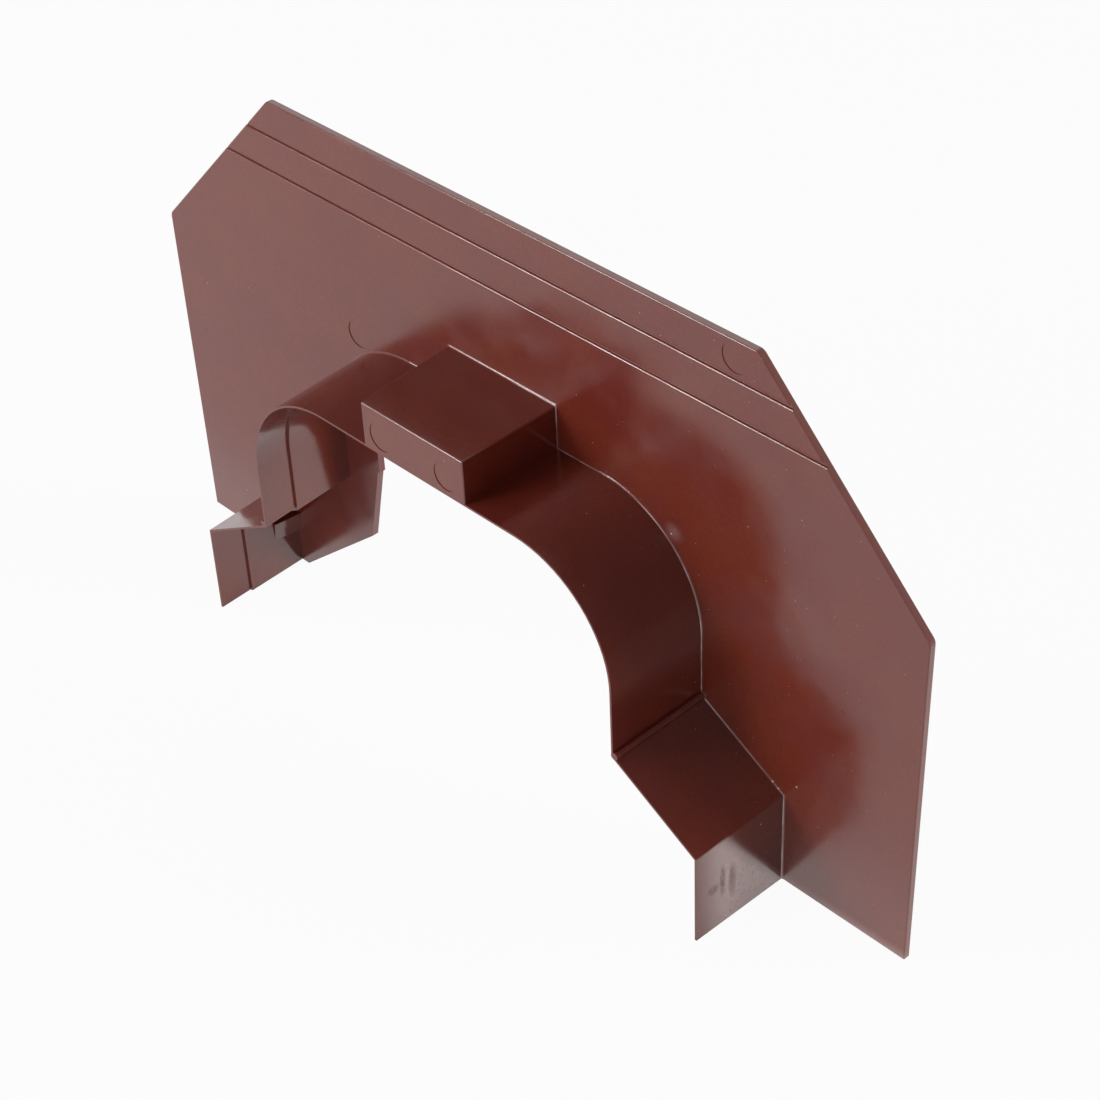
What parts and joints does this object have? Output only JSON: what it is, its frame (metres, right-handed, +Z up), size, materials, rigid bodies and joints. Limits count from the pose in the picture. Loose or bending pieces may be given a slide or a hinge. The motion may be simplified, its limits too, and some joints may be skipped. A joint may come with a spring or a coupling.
{
  "type": "ridge end plate",
  "caption": "Moulded plastic ridge end trim: upright plate with clipped top corners, trim grooves and an arched flange with sloped shoulders and a crown box.",
  "frame": {"origin": "middle of the bounding box in X and Y, on the floor in Z", "axes": "+X along the plate, +Y from the flange toward the plate's back, +Z up"},
  "size_m": [0.3, 0.036, 0.1715],
  "materials": {
    "brown_plastic": "glossy moulded plastic"
  },
  "bodies": {
    "root": {"ridge_end_plate": "brown_plastic"}
  },
  "joints": []
}
